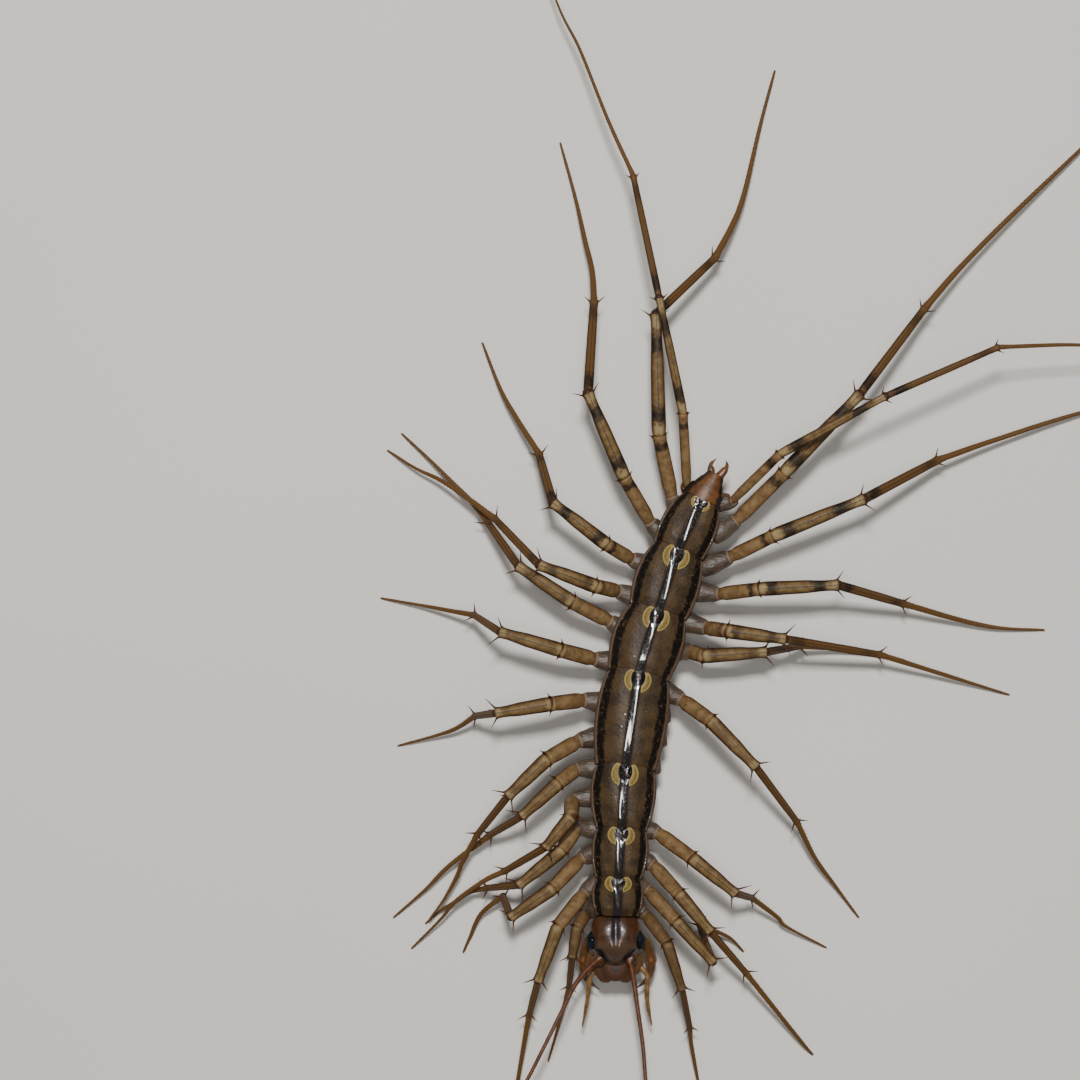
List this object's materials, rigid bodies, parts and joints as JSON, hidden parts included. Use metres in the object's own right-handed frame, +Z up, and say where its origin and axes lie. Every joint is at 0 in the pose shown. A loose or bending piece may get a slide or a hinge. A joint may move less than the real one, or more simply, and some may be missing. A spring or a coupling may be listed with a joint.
{
  "type": "house centipede",
  "caption": "Still life-size model of a long-legged house centipede standing on its feet, with banded legs, back plates, compound eyes and long feelers",
  "frame": {"origin": "on the floor plane, under the centre of the bounding box", "axes": "+Z up, head towards -Y and tail towards +Y, the animal's right side towards -X"},
  "size_m": [0.0516, 0.0906, 0.0093],
  "materials": {
    "back_plate": "satin brown chitin with dark stripes",
    "tail_shell": "satin red-brown chitin",
    "head_shell": "glossy red-brown chitin",
    "eye": "glossy black facets",
    "feeler": "matte red-brown rings",
    "leg_shell": "satin tan chitin with dark bands"
  },
  "bodies": {
    "root": {"head": "head_shell", "eye_right": "eye", "eye_left": "eye", "antenna_right": "feeler", "antenna_left": "feeler", "palp_right": "feeler", "palp_left": "feeler", "forcipule_right": "feeler", "forcipule_left": "feeler", "trunk_1": "back_plate", "trunk_2": "back_plate", "trunk_3": "back_plate", "trunk_4": "back_plate", "trunk_5": "back_plate", "trunk_6": "back_plate", "trunk_7": "back_plate", "tail": "tail_shell", "leg_right_01": "leg_shell", "leg_right_02": "leg_shell", "leg_right_03": "leg_shell", "leg_right_04": "leg_shell", "leg_right_05": "leg_shell", "leg_right_06": "leg_shell", "leg_right_07": "leg_shell", "leg_right_08": "leg_shell", "leg_right_09": "leg_shell", "leg_right_10": "leg_shell", "leg_right_11": "leg_shell", "leg_right_12": "leg_shell", "leg_right_13": "leg_shell", "leg_right_14": "leg_shell", "leg_right_15": "leg_shell", "leg_left_01": "leg_shell", "leg_left_02": "leg_shell", "leg_left_03": "leg_shell", "leg_left_04": "leg_shell", "leg_left_09": "leg_shell", "leg_left_10": "leg_shell", "leg_left_11": "leg_shell", "leg_left_12": "leg_shell", "leg_left_13": "leg_shell", "leg_left_14": "leg_shell", "leg_left_15": "leg_shell"}
  },
  "joints": []
}
